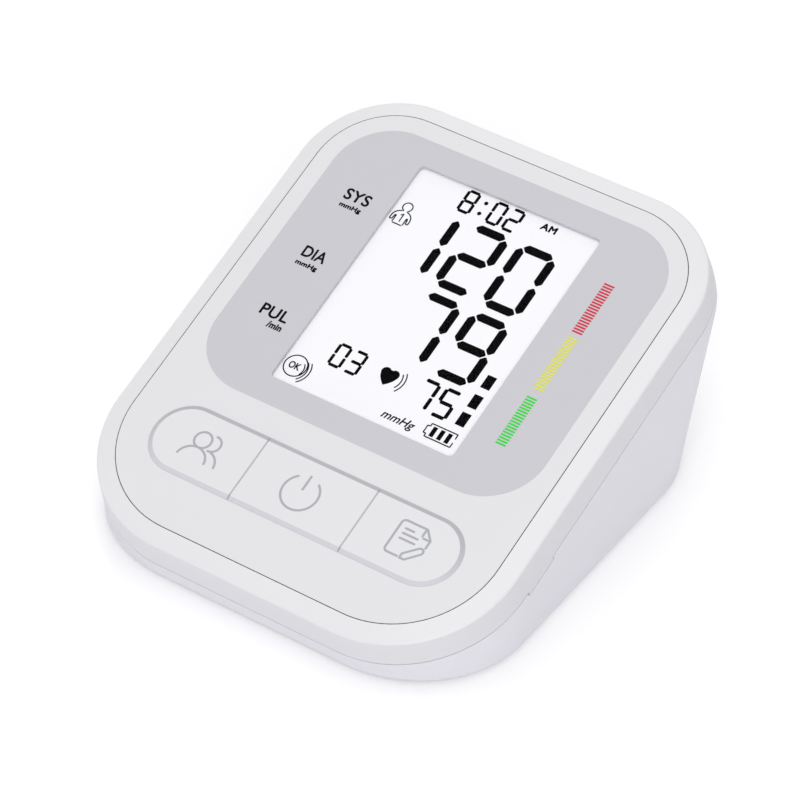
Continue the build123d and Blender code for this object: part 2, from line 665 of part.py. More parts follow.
def socket_hose():
    """The hose from the air socket across the case to the manifold."""
    right = AIR_X - MANIFOLD_WIDTH / 2
    left = SOCKET_INNER
    return bar_along_x(HOSE_RADIUS, left, right, LINE_Y, AIR_Z) - bar_along_x(
        NIPPLE_RADIUS, left, right, LINE_Y, AIR_Z)


def pump_hose():
    return bar_along_y(HOSE_RADIUS, MANIFOLD_REAR, PUMP_FRONT, AIR_X, AIR_Z) - bar_along_y(
        NIPPLE_RADIUS, MANIFOLD_REAR, PUMP_FRONT, AIR_X, AIR_Z)


def sensor_hose():
    """The short hose that joins the manifold to the pressure sensor over it."""
    bottom = MANIFOLD_SURFACE - HOSE_RADIUS * SLOPE_SIN
    hose = rod(HOSE_RADIUS, AIR_X, SENSOR_Y, SENSOR_UNDER, bottom) - rod(
        NIPPLE_RADIUS, AIR_X, SENSOR_Y, SENSOR_UNDER, bottom)
    return on_face(hose)


def pressure_sensor():
    """The sensor on the board's under side, with its nipple."""
    body = slab(Pos(AIR_X, SENSOR_Y) * Rectangle(SENSOR_SIZE, SENSOR_SIZE), BOARD_UNDER, SENSOR_UNDER)
    tip = SENSOR_UNDER + SENSOR_NIPPLE
    return on_face(body + rod(NIPPLE_RADIUS, AIR_X, SENSOR_Y, SENSOR_UNDER, tip))


def air_socket():
    """The socket in the left wall that the cuff's air plug goes into."""
    end = SOCKET_INNER - NIPPLE_LENGTH
    body = bar_along_x(SOCKET_RADIUS - SOCKET_CLEARANCE, SOCKET_MOUTH, end, LINE_Y, AIR_Z)
    flange = WALL_INSIDE + SOCKET_FLANGE_GAP
    body += bar_along_x(SOCKET_FLANGE_RADIUS, flange, flange + SOCKET_FLANGE, LINE_Y, AIR_Z)
    body += bar_along_x(NIPPLE_RADIUS, end - ROOT, SOCKET_INNER + NIPPLE_LENGTH, LINE_Y, AIR_Z)
    body -= bar_along_x(SOCKET_BORE, SOCKET_MOUTH, SOCKET_MOUTH + SOCKET_BORE_LENGTH, LINE_Y, AIR_Z)
    return body - bar_along_x(NIPPLE_BORE, SOCKET_MOUTH, SOCKET_INNER + NIPPLE_LENGTH, LINE_Y, AIR_Z)


def pump_motor():
    rear = PUMP_HEAD_REAR + MOTOR_LENGTH
    motor = bar_along_y(PUMP_RADIUS, PUMP_HEAD_REAR, rear, AIR_X, PUMP_Z)
    return motor + bar_along_y(MOTOR_BOSS_RADIUS, rear - ROOT, rear + MOTOR_BOSS, AIR_X, PUMP_Z)


def pump_head():
    """The diaphragm end of the pump, with its outlet low at the front."""
    head = bar_along_y(PUMP_RADIUS, PUMP_FRONT, PUMP_HEAD_REAR, AIR_X, PUMP_Z)
    return head + bar_along_y(NIPPLE_RADIUS, PUMP_NOZZLE, PUMP_FRONT + ROOT, AIR_X, AIR_Z)


def pump_cradle():
    """The rubber cradle that the pump lies in, on the floor."""
    front = PUMP_HEAD_REAR + (MOTOR_LENGTH - CRADLE_LENGTH) / 2
    half = PUMP_RADIUS + CRADLE_WALL
    block = box_between((AIR_X - half, front, FLOOR_TOP), (AIR_X + half, front + CRADLE_LENGTH, PUMP_Z))
    return block - bar_along_y(PUMP_RADIUS, front, front + CRADLE_LENGTH, AIR_X, PUMP_Z)


def release_valve():
    """The valve that lets the cuff down, on the manifold's right."""
    start = AIR_X + MANIFOLD_WIDTH / 2
    z = AIR_Z + VALVE_RADIUS - MANIFOLD_HEIGHT / 2
    return bar_along_x(VALVE_RADIUS, start, start + VALVE_LENGTH, LINE_Y, z)


# ---------------------------------------------------------------- batteries

def cell_y(index):
    return BAY_Y + (index - (CELL_COUNT - 1) / 2) * CELL_PITCH


def cell_way(index):
    """Which way a cell's button points: neighbours lie head to tail."""
    return 1 if index % 2 == 0 else -1


def cell_ends(index):
    """Where a cell's flat end and its button lie along the bay."""
    half = bay_size()[0] / 2 - CONTACT_THICKNESS
    way = cell_way(index)
    tip = BAY_X + way * half
    return tip - way * (CELL_LENGTH + CELL_BUTTON), tip


def cell(index):
    flat, tip = cell_ends(index)
    shoulder = tip - cell_way(index) * CELL_BUTTON
    left, right = sorted((flat, shoulder))
    can = bar_along_x(CELL_RADIUS, left, right, cell_y(index), CELL_CENTRE)
    left, right = sorted((flat, tip))
    return can + bar_along_x(CELL_BUTTON_RADIUS, left, right, cell_y(index), CELL_CENTRE)


def cell_row(grow):
    """All the cells, grown all round, as room to keep clear."""
    half = CELL_LENGTH / 2
    return [bar_along_x(CELL_RADIUS + grow, BAY_X - half, BAY_X + half, cell_y(i), CELL_CENTRE)
            for i in range(CELL_COUNT)]


def contact_plates():
    """The metal plates at both ends of the bay, one behind every cell end."""
    half = bay_size()[0] / 2
    plates = []
    for index in range(CELL_COUNT):
        for side in (-1, 1):
            outer = BAY_X + side * half
            inner = outer - side * CONTACT_THICKNESS
            plates.append(box_between(
                (min(outer, inner), cell_y(index) - CONTACT_SIZE / 2, CELL_CENTRE - CONTACT_SIZE / 2),
                (max(outer, inner), cell_y(index) + CONTACT_SIZE / 2, CELL_CENTRE + CONTACT_SIZE / 2)))
    return plates


def contact_springs():
    """The cone springs behind the flat ends, each as its closed outer shape."""
    springs = []
    for index in range(CELL_COUNT):
        flat, _ = cell_ends(index)
        way = cell_way(index)
        cone = Rot(Y=way * 90) * Cone(SPRING_BASE_RADIUS, SPRING_TIP_RADIUS, CELL_SPRING)
        springs.append(Pos(flat - way * CELL_SPRING / 2, cell_y(index), CELL_CENTRE) * cone)
    return springs


# ---------------------------------------------------------------- power socket

def usb_socket():
    """The power socket: a flat shell with rounded sides and a tongue inside."""
    mouth_y, z = usb_centre()
    outer = Rectangle(USB_WIDTH, USB_THICKNESS)
    outer = fillet(outer.vertices(), USB_THICKNESS / 2 - USB_WALL / 2)
    inner = Rectangle(USB_WIDTH - 2 * USB_WALL, USB_THICKNESS - 2 * USB_WALL)
    inner = fillet(inner.vertices(), USB_THICKNESS / 2 - 3 * USB_WALL / 2)
    shell = Rot(X=90) * extrude(outer, USB_LENGTH)
    shell -= Rot(X=90) * extrude(inner, USB_LENGTH - 2 * USB_WALL)
    tongue = Rectangle(USB_TONGUE_WIDTH, USB_TONGUE_THICKNESS)
    back = Pos(0, -USB_LENGTH + USB_TONGUE_LENGTH, 0) * (Rot(X=90) * extrude(tongue, USB_TONGUE_LENGTH))
    return Pos(USB_X, mouth_y, z) * (shell + back)


def usb_board():
    """The small board that carries the power socket."""
    mouth_y, z = usb_centre()
    top = z - USB_THICKNESS / 2
    rear = mouth_y - USB_LENGTH / 3
    side = USB_BOARD_WIDTH / 2
    return box_between((USB_X - side, rear - USB_BOARD_LENGTH, top - USB_BOARD_THICKNESS),
                       (USB_X + side, rear, top))


# ---------------------------------------------------------------- assembly

def all_pieces():
    """Every node of the monitor, by name, about the centre of the face."""
    pieces = {
        "upper_housing": upper_housing(),
        "lower_housing": lower_housing(),
        "faceplate": faceplate(),
        "display_panel": display_panel(),
        "display_window": display_window(),
        "lcd_glass": lcd_glass(),
        "lcd_light_guide": lcd_light_guide(),
        "lcd_frame": lcd_frame(),
        "lcd_connector": lcd_connector(),
        "main_board": main_board(),
        "board_screws": board_screws(),
        "controller_chip": controller_chip(),
        "buzzer": buzzer(),
        "capacitors": capacitors(),
        "resistors": resistors(),
        "pressure_sensor": pressure_sensor(),
        "pump_motor": pump_motor(),
        "pump_head": pump_head(),
        "pump_cradle": pump_cradle(),
        "release_valve": release_valve(),
        "air_manifold": manifold(),
        "air_socket": air_socket(),
        "socket_hose": socket_hose(),
        "pump_hose": pump_hose(),
        "sensor_hose": sensor_hose(),
        "battery_contacts": contact_plates(),
        "battery_springs": contact_springs(),
        "battery_door": battery_door(),
        "usb_socket": usb_socket(),
        "usb_board": usb_board(),
        "housing_screws": housing_screws(),
        "rubber_feet": rubber_feet(),
    }
    for name, x in KEYS.items():
        pieces["key_" + name] = key(x)
        pieces["switch_stem_" + name] = switch_stem(x)
        pieces["switch_body_" + name] = switch_body(x)
    for index in range(CELL_COUNT):
        pieces["battery_cell_" + str(index + 1)] = cell(index)
    return pieces


def as_solids(shape):
    """The separate solids of a piece, whether it is one shape or a list of them."""
    shapes = shape if isinstance(shape, list) else [shape]
    return [solid for item in shapes for solid in item.solids()]


pieces = {name: Compound(as_solids(shape)) for name, shape in all_pieces().items()}
outside = ("upper_housing", "lower_housing", "rubber_feet")
box = Compound([solid for name in outside for solid in pieces[name].solids()]).bounding_box()
stand = Pos(-(box.min.X + box.max.X) / 2, -(box.min.Y + box.max.Y) / 2, -box.min.Z)
os.makedirs("parts", exist_ok=True)
for name, piece in pieces.items():
    export_step(stand * piece, "parts/" + name + ".step")
print("face centre is at", stand.position)
print(len(pieces), "nodes, case", box.size)
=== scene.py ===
import json
from math import cos, pi, radians, sin

import bmesh
import bpy
from mathutils import Matrix, Vector


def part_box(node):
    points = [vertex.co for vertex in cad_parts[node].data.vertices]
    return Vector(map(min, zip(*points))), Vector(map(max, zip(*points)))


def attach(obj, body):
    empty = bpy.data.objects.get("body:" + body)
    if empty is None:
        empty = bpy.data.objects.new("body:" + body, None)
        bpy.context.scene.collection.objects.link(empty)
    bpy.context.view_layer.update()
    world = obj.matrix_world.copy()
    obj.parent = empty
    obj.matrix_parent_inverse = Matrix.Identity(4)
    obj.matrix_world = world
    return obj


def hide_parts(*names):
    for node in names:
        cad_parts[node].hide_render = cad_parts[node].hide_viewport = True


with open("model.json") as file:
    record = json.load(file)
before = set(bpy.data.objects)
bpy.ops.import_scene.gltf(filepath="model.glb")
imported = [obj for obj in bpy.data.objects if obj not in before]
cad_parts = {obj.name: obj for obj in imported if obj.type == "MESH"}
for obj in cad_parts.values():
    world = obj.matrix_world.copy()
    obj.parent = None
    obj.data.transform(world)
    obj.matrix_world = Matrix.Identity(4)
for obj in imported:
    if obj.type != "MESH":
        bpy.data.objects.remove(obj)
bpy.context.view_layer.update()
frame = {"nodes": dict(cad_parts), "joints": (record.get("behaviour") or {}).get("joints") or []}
nodes = frame["nodes"]
scene = bpy.context.scene
MM = 0.001


# ---------------------------------------------------------------- the studio
# A white table top under a white sky, with four large soft lights: the main one
# to the right of the user, one overhead, and weaker ones behind and to the
# left, so that the shell's walls fall only a little darker than its face.

def linear(sheet):
    """An sRGB colour written as six hex digits, as a linear RGBA tuple."""
    parts = [int(sheet[i:i + 2], 16) / 255 for i in (0, 2, 4)]
    return tuple(p / 12.92 if p <= 0.04045 else ((p + 0.055) / 1.055) ** 2.4 for p in parts) + (1.0,)


def add(tree, kind, settings=None, **inputs):
    """Adds a shader node. An input that is another node's socket is linked, and any other is set."""
    made = tree.nodes.new("ShaderNode" + kind)
    for name, value in (settings or {}).items():
        setattr(made, name, value)
    for name, value in inputs.items():
        socket = made.inputs[name.replace("_", " ")]
        if isinstance(value, bpy.types.NodeSocket):
            tree.links.new(value, socket)
        else:
            socket.default_value = value
    return made


def new_material(name):
    """An empty node material, and its tree and output."""
    material = bpy.data.materials.new(name)
    material.use_nodes = True
    material.node_tree.nodes.clear()
    return material, material.node_tree, material.node_tree.nodes.new("ShaderNodeOutputMaterial")


def soft_box(name, azimuth, elevation, watts):
    """A square soft light that faces the case. Azimuth 0 is the user's side and 90 the case's right."""
    turn, rise = radians(azimuth), radians(elevation)
    out = Vector((sin(turn) * cos(rise), -cos(turn) * cos(rise), sin(rise)))
    lamp = bpy.data.lights.new(name, "AREA")
    lamp.size = SOFT_BOX_SIZE
    lamp.energy = watts
    made = bpy.data.objects.new(name, lamp)
    made.location = CASE_CENTRE + out * SOFT_BOX_DISTANCE
    made.rotation_euler = (-out).to_track_quat("-Z", "Y").to_euler()
    scene.collection.objects.link(made)


CAMERA_PLACE = (0.37629, -0.58189, 0.61398)
CAMERA_TURN = (49.552, -1.065, 33.848)
CAMERA_LENS = 176.25
FLOOR_SIDE = 8.0
CASE_CENTRE = Vector((0, 0, 0.03))
SOFT_BOX_SIZE = 1.0
SOFT_BOX_DISTANCE = 1.6
SKY_STRENGTH = 0.448
FLOOR_GLOW = 0.13          # lifts the table top to the white of a lit studio sweep

camera = bpy.data.objects.new("camera", bpy.data.cameras.new("camera"))
camera.data.lens = CAMERA_LENS
camera.location = CAMERA_PLACE
camera.rotation_euler = [radians(angle) for angle in CAMERA_TURN]
camera.data.clip_start = 0.05
scene.collection.objects.link(camera)
scene.camera = camera
scene.view_settings.view_transform = "Standard"

soft_box("front_light", 35, 40, 9.1)
soft_box("rear_light", 210, 40, 4.2)
soft_box("left_light", 300, 40, 1.5)
soft_box("top_light", 0, 89, 5.8)

sky = bpy.data.worlds.new("studio_sky")
sky.use_nodes = True
sky.node_tree.nodes["Background"].inputs["Color"].default_value = linear("fefefe")
sky.node_tree.nodes["Background"].inputs["Strength"].default_value = SKY_STRENGTH
scene.world = sky

# White laminate: a faint mottle keeps it from being one flat tone.
table_top, tree, output = new_material("white_laminate")
place = add(tree, "TexCoord").outputs["Object"]
mottle = add(tree, "TexNoise", Vector=place, Scale=6.0, Detail=3.0).outputs["Fac"]
tone = add(tree, "MixRGB", Fac=mottle, Color1=linear("fbfbfc"), Color2=linear("f8f8f9"))
surface = add(tree, "BsdfPrincipled", Base_Color=tone.outputs["Color"], Roughness=0.7,
              Emission_Color=linear("ffffff"), Emission_Strength=FLOOR_GLOW)
surface.inputs["Specular IOR Level"].default_value = 0.2
tree.links.new(surface.outputs["BSDF"], output.inputs["Surface"])

bm = bmesh.new()
bmesh.ops.create_grid(bm, x_segments=1, y_segments=1, size=FLOOR_SIDE / 2)
floor_mesh = bpy.data.meshes.new("table_top")
bm.to_mesh(floor_mesh)
bm.free()
floor_mesh.materials.append(table_top)
floor = bpy.data.objects.new("table_top", floor_mesh)
scene.collection.objects.link(floor)


# ---------------------------------------------------------------- the two shells
# The upper and lower halves of the case, injection moulded in white ABS with a
# fine spark-eroded surface. The lower half comes from another tool and a
# slightly greyer batch, and it is held by four screws from below.

SHELL_GRAIN = 0.35          # spark-erosion grain, mm, as coarse as it needs to show
SHELL_COLOUR = "e9e9ec"
LOWER_COLOUR = "e2e1e8"
FLOW_SIZE = 38.0            # broad uneven gloss of a moulded wall, mm


def moulded(name, colour, roughness, grain, depth, specular=0.5):
    """Injection-moulded plastic: a broad uneven gloss, a slight drift of colour and a fine grain."""
    material, tree, output = new_material(name)
    place = add(tree, "TexCoord").outputs["Object"]
    flow = add(tree, "TexNoise", Vector=place, Scale=1 / (FLOW_SIZE * MM), Detail=2.0).outputs["Fac"]
    fine = add(tree, "TexNoise", Vector=place, Scale=1 / (grain * MM), Detail=3.0).outputs["Fac"]
    base = linear(colour)
    darker = tuple(part * 0.975 for part in base[:3]) + (1.0,)
    tone = add(tree, "MixRGB", Fac=flow, Color1=darker, Color2=base)
    gloss = add(tree, "MapRange", Value=flow, To_Min=roughness * 0.92, To_Max=roughness * 1.1)
    bump = add(tree, "Bump", Height=fine, Strength=0.5, Distance=depth * MM)
    surface = add(tree, "BsdfPrincipled", Base_Color=tone.outputs["Color"],
                  Roughness=gloss.outputs["Result"], Normal=bump.outputs["Normal"], IOR=1.53)
    surface.inputs["Specular IOR Level"].default_value = specular
    tree.links.new(surface.outputs["BSDF"], output.inputs["Surface"])
    return material


def finish(material, *names):
    """Gives CAD nodes their material."""
    for name in names:
        nodes[name].data.materials.clear()
        nodes[name].data.materials.append(material)


# painted shade: the darker white of the skirt's walls below the ring
SKIRT_SHADE_COLOUR = "dbdadf"
RING_DROP = 1.1             # of the ring's outer edge below the face, mm


def along(tree, direction, start, end):
    """How far a point lies along a direction, from 0 at one place to 1 at another, both in metres."""
    place = add(tree, "TexCoord").outputs["Object"]
    reach = add(tree, "VectorMath", {"operation": "DOT_PRODUCT"}, Vector=place)
    reach.inputs[1].default_value = direction
    share = add(tree, "MapRange", Value=reach.outputs["Value"], From_Min=start, From_Max=end)
    return share.outputs["Result"]


def overlay(material, share, colour):
    """Lays a colour under what a material already shows, where the share is 0."""
    tree = material.node_tree
    surface = next(node for node in tree.nodes if node.type == "BSDF_PRINCIPLED")
    shown = surface.inputs["Base Color"].links[0].from_socket
    tone = add(tree, "MixRGB", Fac=share, Color1=colour, Color2=shown)
    tree.links.new(tone.outputs["Color"], surface.inputs["Base Color"])


# The face's own frame, in mm: across, up the slope, and out of the face.
panel_low, panel_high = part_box("display_panel")
keypress = next(joint for joint in frame["joints"] if joint["name"] == "power_key_press")
face_out = -Vector(keypress["axis"])
PANEL_CENTRE = 16.92        # up the face from its middle, mm
PANEL_THICKNESS = 1.0
face_turn = Vector((0, 0, 1)).rotation_difference(face_out).to_matrix().to_4x4()
panel_middle = face_turn @ Vector((0, PANEL_CENTRE * MM, -PANEL_THICKNESS / 2 * MM))
FACE = Matrix.Translation((panel_low + panel_high) / 2 - panel_middle) @ face_turn @ Matrix.Scale(MM, 4)

# The skirt below the ring's edge is a slightly darker white than the ring: painted shade on the walls,
# which fall darker than the face under the lights.
upper_abs = moulded("white_moulded_abs", SHELL_COLOUR, 0.42, SHELL_GRAIN, 0.004)
ring_edge = face_out.dot(FACE @ Vector((0, 0, -RING_DROP)))
skirt_shade_share = along(upper_abs.node_tree, face_out, ring_edge - 0.5 * MM, ring_edge - 0.1 * MM)
overlay(upper_abs, skirt_shade_share, linear(SKIRT_SHADE_COLOUR))
lower_abs = moulded("pale_moulded_abs", LOWER_COLOUR, 0.45, SHELL_GRAIN, 0.004)
finish(upper_abs, "upper_housing")
finish(lower_abs, "lower_housing")


# ---------------------------------------------------------------- the faceplate
# A separate white ABS plate pressed into the upper shell, with the openings for
# the display and the row of keys. Its satin finish is a little duller.

FACEPLATE_COLOUR = "e5e5e8"
faceplate_abs = moulded("satin_white_abs", FACEPLATE_COLOUR, 0.5, SHELL_GRAIN, 0.003)
finish(faceplate_abs, "faceplate")


# ---------------------------------------------------------------- display panel and window
# A lavender-grey polycarbonate label, printed from behind, lies flush in the
# faceplate round a clear acrylic window. The words and the three striped
# pressure ranges are screen printed on it in thin ink.

PANEL_COLOUR = "cccbd1"
INK = 0.03                  # thickness of printed ink, mm
INK_SINK = 0.01
COPY_STEP = 0.001           # between the copies that make a line of lettering bolder, mm


def piece(name, bm, material, body, place=FACE):
    """A finished piece from a mesh drawn in millimetres, put in place and riding on a body."""
    bmesh.ops.transform(bm, matrix=place, verts=bm.verts)
    bmesh.ops.recalc_face_normals(bm, faces=bm.faces)
    mesh = bpy.data.meshes.new(name)
    bm.to_mesh(mesh)
    bm.free()
    mesh.materials.append(material)
    made = bpy.data.objects.new(name, mesh)
    scene.collection.objects.link(made)
    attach(made, body)
    return made


def block(bm, left, right, foot, head, top, thickness=INK, chamfer=0.0, chamfer_segments=1):
    """A flat block between two places across and two places up, with its corners cut if asked."""
    size = Matrix.Diagonal((right - left, head - foot, thickness + INK_SINK, 1))
    middle = Matrix.Translation(((left + right) / 2, (foot + head) / 2, top - (thickness + INK_SINK) / 2))
    made = bmesh.ops.create_cube(bm, size=1, matrix=middle @ size)["verts"]
    if chamfer:
        edges = {edge for vert in made for edge in vert.link_edges}
        upright = [e for e in edges if (e.verts[0].co.xy - e.verts[1].co.xy).length < chamfer / 10]
        bmesh.ops.bevel(bm, geom=upright, offset=chamfer, segments=chamfer_segments, profile=0.5,
                        affect="EDGES", material=-1)


def bar(bm, start, end, width, top, thickness=INK):
    """A straight stroke of ink between two points."""
    run = Vector(end) - Vector(start)
    size = Matrix.Diagonal((run.length, width, thickness + INK_SINK, 1))
    middle = (Vector(start) + Vector(end)) / 2
    place = Matrix.Translation((middle.x, middle.y, top - (thickness + INK_SINK) / 2))
    turn = Matrix.Rotation(run.to_2d().angle_signed(Vector((1, 0))), 4, "Z")
    bmesh.ops.create_cube(bm, size=1, matrix=place @ turn @ size)


def disc(bm, x, y, radius, top, thickness=INK, sides=32):
    """A round spot of ink."""
    place = Matrix.Translation((x, y, top - (thickness + INK_SINK) / 2))
    bmesh.ops.create_cone(bm, cap_ends=True, segments=sides, radius1=radius, radius2=radius,
                          depth=thickness + INK_SINK, matrix=place)


def arc(bm, x, y, radius, first, last, width, top, thickness=INK, round_ends=True):
    """A curved stroke of ink about a centre, from one angle to another in degrees."""
    start, sweep = radians(first), radians(last - first)
    bottom = top - thickness - INK_SINK
    across = Vector((cos(start), sin(start), 0))
    corners = [(radius - width / 2, bottom), (radius + width / 2, bottom),
               (radius + width / 2, top), (radius - width / 2, top)]
    centre = Vector((x, y, 0))
    verts = [bm.verts.new(centre + across * out + Vector((0, 0, height))) for out, height in corners]
    face = bm.faces.new(verts)
    whole = abs(abs(sweep) - 2 * pi) < radians(1)
    steps = max(6, int(abs(last - first) / 6))
    bmesh.ops.spin(bm, geom=[face, *face.edges, *verts], cent=centre, axis=(0, 0, 1), angle=sweep,
                   steps=steps, use_merge=whole, use_duplicate=False)
    if round_ends and not whole:
        for angle in (start, start + sweep):
            disc(bm, x + radius * cos(angle), y + radius * sin(angle), width / 2, top, thickness, 12)


def words(bm, text, left, right, foot, head, top, slant=0.0, weight=0.0, spread=1.0, thickness=INK):
    """A line of lettering that fills a box on the face, as thin ink. A weight in mm makes it bolder."""
    font = bpy.data.curves.new(text, "FONT")
    font.body = text
    font.shear = slant
    font.space_character = spread
    font.extrude = 0.5
    holder = bpy.data.objects.new(text, font)
    scene.collection.objects.link(holder)
    bpy.context.view_layer.update()
    mesh = bpy.data.meshes.new_from_object(holder)
    xs = [v.co.x for v in mesh.vertices]
    ys = [v.co.y for v in mesh.vertices]
    size = Matrix.Diagonal(((right - left - 2 * weight) / (max(xs) - min(xs)),
                            (head - foot - 2 * weight) / (max(ys) - min(ys)), thickness + INK_SINK, 1))
    corner = Matrix.Translation((left + weight, foot + weight, top - (thickness + INK_SINK) / 2))
    mesh.transform(corner @ size @ Matrix.Translation((-min(xs), -min(ys), 0)))
    bm.from_mesh(mesh)
    if weight:
        around = [(weight * cos(turn * pi / 4), weight * sin(turn * pi / 4)) for turn in range(8)]
        for (x, y), (last_x, last_y) in zip(around, [(0, 0)] + around):
            mesh.transform(Matrix.Translation((x - last_x, y - last_y, -COPY_STEP)))
            bm.from_mesh(mesh)
    bpy.data.objects.remove(holder)
    bpy.data.meshes.remove(mesh)
    bpy.data.curves.remove(font)


# A near-black strip in the gap round the faceplate is painted shadow: it darkens the gap line where shade
# falls.
PLATE_HALF_WIDTH, PLATE_HALF_LENGTH = 50.0, 61.6
PLATE_FRONT_RADIUS, PLATE_REAR_RADIUS = 25.3, 19.7
GAP_MIDDLE = 0.1            # out from the plate's edge, mm
SHADOW_WIDTH, SHADOW_DEPTH = 0.18, 0.05
STRIP_HEIGHT = 0.5          # of a strip that fills a gap, mm
bm = bmesh.new()
for end, radius in [(-1, PLATE_FRONT_RADIUS), (1, PLATE_REAR_RADIUS)]:
    centre_x, centre_y = PLATE_HALF_WIDTH - radius, end * (PLATE_HALF_LENGTH - radius)
    edge_y = end * (PLATE_HALF_LENGTH + GAP_MIDDLE)
    bar(bm, (-centre_x, edge_y), (centre_x, edge_y), SHADOW_WIDTH, -SHADOW_DEPTH, STRIP_HEIGHT)
    for side in (-1, 1):
        first = 45 - side * 45 if end > 0 else 225 + side * 45
        arc(bm, side * centre_x, centre_y, radius + GAP_MIDDLE, first, first + 90, SHADOW_WIDTH,
            -SHADOW_DEPTH, STRIP_HEIGHT, round_ends=False)
for side in (-1, 1):
    edge_x = side * (PLATE_HALF_WIDTH + GAP_MIDDLE)
    front_end = (edge_x, PLATE_FRONT_RADIUS - PLATE_HALF_LENGTH)
    rear_end = (edge_x, PLATE_HALF_LENGTH - PLATE_REAR_RADIUS)
    bar(bm, front_end, rear_end, SHADOW_WIDTH, -SHADOW_DEPTH, STRIP_HEIGHT)
# painted shadow: a near-black strip that darkens the gap line
painted_gap_shadow = moulded("painted_gap_shadow", "2c2c2f", 0.9, 0.3, 0.004, specular=0.2)
piece("plate_gap_shadow", bm, painted_gap_shadow, "case")

# Back-printed polycarbonate: a smooth satin film over an even layer of ink.
panel_film = moulded("printed_polycarbonate", PANEL_COLOUR, 0.5, 0.2, 0.0015, specular=0.4)
finish(panel_film, "display_panel")

# Clear cast acrylic: only a faint reflection shows.
acrylic, tree, output = new_material("clear_acrylic")
place = add(tree, "TexCoord").outputs["Object"]
smear = add(tree, "TexNoise", Vector=place, Scale=60.0, Detail=3.0).outputs["Fac"]
polish = add(tree, "MapRange", Value=smear, To_Min=0.06, To_Max=0.14)
shine = add(tree, "BsdfGlossy", Roughness=polish.outputs["Result"])
through = add(tree, "BsdfTransparent")
surface = add(tree, "MixShader", Fac=0.006)
tree.links.new(through.outputs["BSDF"], surface.inputs[1])
tree.links.new(shine.outputs["BSDF"], surface.inputs[2])
tree.links.new(surface.outputs["Shader"], output.inputs["Surface"])
finish(acrylic, "display_window")


def ink(name, colour, roughness=0.55, specular=0.3):
    """Screen-printing ink: a matt even film with a slight mesh texture."""
    material, tree, output = new_material(name)
    place = add(tree, "TexCoord").outputs["Object"]
    screen = add(tree, "TexNoise", Vector=place, Scale=1 / (0.25 * MM), Detail=2.0).outputs["Fac"]
    base = linear(colour)
    thin = tuple(min(1.0, part * 1.08 + 0.002) for part in base[:3]) + (1.0,)
    tone = add(tree, "MixRGB", Fac=screen, Color1=base, Color2=thin)
    gloss = add(tree, "MapRange", Value=screen, To_Min=roughness * 0.9, To_Max=roughness * 1.1)
    surface = add(tree, "BsdfPrincipled", Base_Color=tone.outputs["Color"],
                  Roughness=gloss.outputs["Result"])
    surface.inputs["Specular IOR Level"].default_value = specular
    tree.links.new(surface.outputs["BSDF"], output.inputs["Surface"])
    return material


black_ink = ink("black_screen_ink", "070708", specular=0.08)

LABELS = [
    ("SYS", -37.4, -30.4, 33.7, 37.0), ("mmHg", -37.0, -31.0, 31.05, 32.75),
    ("DIA", -37.4, -31.0, 15.3, 18.5), ("mmHg", -37.4, -31.4, 12.45, 14.15),
    ("PUL", -37.4, -29.8, -2.8, 0.4), ("/min", -33.7, -29.7, -5.3, -3.4)]
bm = bmesh.new()
for text, left, right, foot, head in LABELS:
    words(bm, text, left, right, foot, head, INK, weight=0.1, spread=1.04)
piece("panel_words", bm, black_ink, "case")

SCALE_LEFT = 31.9
SCALE_RIGHT = 34.6
STRIPE_PITCH = 0.8
STRIPE_WIDTH = 0.46
for name, colour, foot, head in [("high", "cc2c42", 25.2, 40.6), ("raised", "dcdc4e", 8.0, 23.6),
                                 ("normal", "2fd23e", -8.4, 6.4)]:
    bm = bmesh.new()
    stripes = round((head - foot) / STRIPE_PITCH)
    for count in range(stripes):
        low = foot + count * STRIPE_PITCH
        block(bm, SCALE_LEFT, SCALE_RIGHT, low, low + STRIPE_WIDTH, INK)
    piece("scale_" + name, bm, ink("ink_scale_" + name, colour), "case")


# ---------------------------------------------------------------- liquid-crystal display
# The glass behind the window, lit white from behind by its light guide. The
# black figures are the switched segments of the crystal: time, two pressures,
# pulse, memory number and the small marks.

GLASS_DEPTH = 1.1           # of the front of the glass below the face, mm
SEGMENT = 0.04              # thickness given to a switched segment, mm
LINE_X, LINE_Y = -0.502, 0.468    # how far a thing seen at a slant lies aside, for each mm of depth
SHIFT_X = LINE_X * GLASS_DEPTH
SHIFT_Y = LINE_Y * GLASS_DEPTH
GLASS_TOP = -GLASS_DEPTH + SEGMENT
DISPLAY = FACE @ Matrix.Translation((SHIFT_X, SHIFT_Y, 0))

# Backlit glass: white, with the light guide's glow and a very slight unevenness.
lcd_glass, tree, output = new_material("backlit_lcd_glass")
place = add(tree, "TexCoord").outputs["Object"]
cloud = add(tree, "TexNoise", Vector=place, Scale=45.0, Detail=1.0).outputs["Fac"]
tone = add(tree, "MixRGB", Fac=cloud, Color1=linear("f6f6fa"), Color2=linear("f9f9fc"))
surface = add(tree, "BsdfPrincipled", Base_Color=tone.outputs["Color"], Roughness=0.25,
              Emission_Color=linear("fafaff"), Emission_Strength=0.04)
surface.inputs["Specular IOR Level"].default_value = 0.2
tree.links.new(surface.outputs["BSDF"], output.inputs["Surface"])
finish(lcd_glass, "lcd_glass")

# A switched segment lets almost nothing through, and its face is under the glass, so it has no gloss.
segment_black, tree, output = new_material("switched_crystal")
place = add(tree, "TexCoord").outputs["Object"]
cloud = add(tree, "TexNoise", Vector=place, Scale=45.0, Detail=1.0).outputs["Fac"]
tone = add(tree, "MixRGB", Fac=cloud, Color1=linear("040405"), Color2=linear("08080a"))
surface = add(tree, "BsdfPrincipled", Base_Color=tone.outputs["Color"], Roughness=0.9)
surface.inputs["Specular IOR Level"].default_value = 0.0
tree.links.new(surface.outputs["BSDF"], output.inputs["Surface"])

FIGURES = {"0": "abcdef", "1": "bc", "2": "abged", "3": "abgcd", "5": "afgcd", "7": "abc",
           "8": "abcdefg", "9": "abcdfg"}


